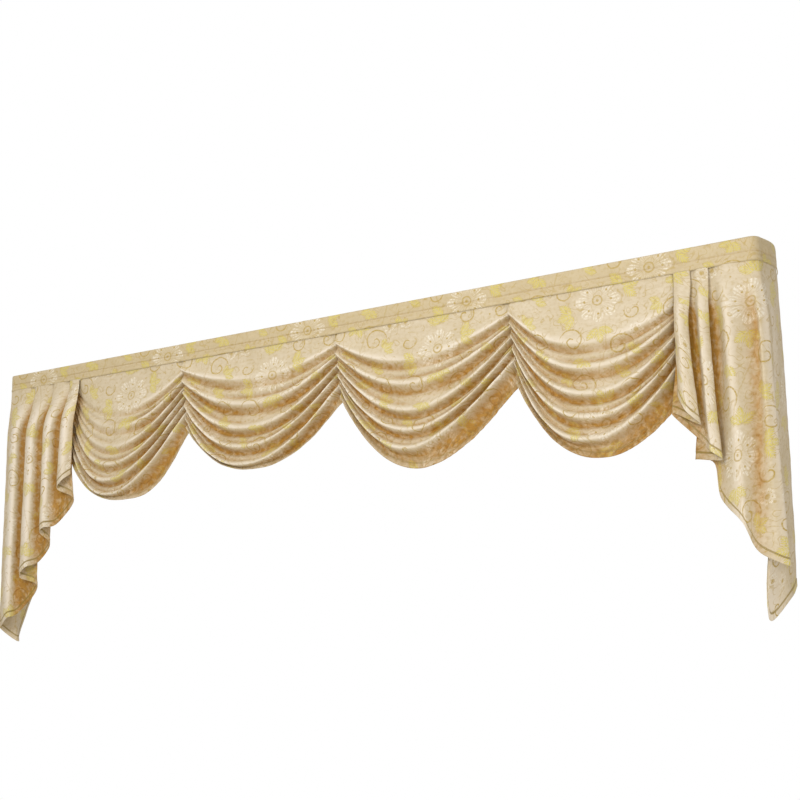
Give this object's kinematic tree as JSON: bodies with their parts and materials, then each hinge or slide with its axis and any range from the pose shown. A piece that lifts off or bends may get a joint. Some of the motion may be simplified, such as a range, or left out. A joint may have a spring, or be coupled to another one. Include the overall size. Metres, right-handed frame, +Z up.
{
  "type": "draped swag valance",
  "caption": "Curtain-top valance: a flat heading with returns, a row of draped swags with tucked folds, and a pleated tail with a slanting hem at each end.",
  "frame": {"origin": "middle of the heading's top edge, on its front plane", "axes": "+X to the viewer's right along the heading, +Y towards the wall, +Z up"},
  "size_m": [2.9367, 0.2393, 1.0621],
  "materials": {
    "heading_band": "woven figured cloth with a soft sheen",
    "swag_1": "woven figured cloth with a soft sheen",
    "swag_2": "woven figured cloth with a soft sheen",
    "swag_3": "woven figured cloth with a soft sheen",
    "swag_4": "woven figured cloth with a soft sheen",
    "tail_left": "woven figured cloth with a soft sheen",
    "tail_right": "woven figured cloth with a soft sheen"
  },
  "bodies": {
    "root": {"heading_band": "heading_band", "swag_1": "swag_1", "swag_2": "swag_2", "swag_3": "swag_3", "swag_4": "swag_4", "tail_left": "tail_left", "tail_right": "tail_right"}
  },
  "joints": []
}
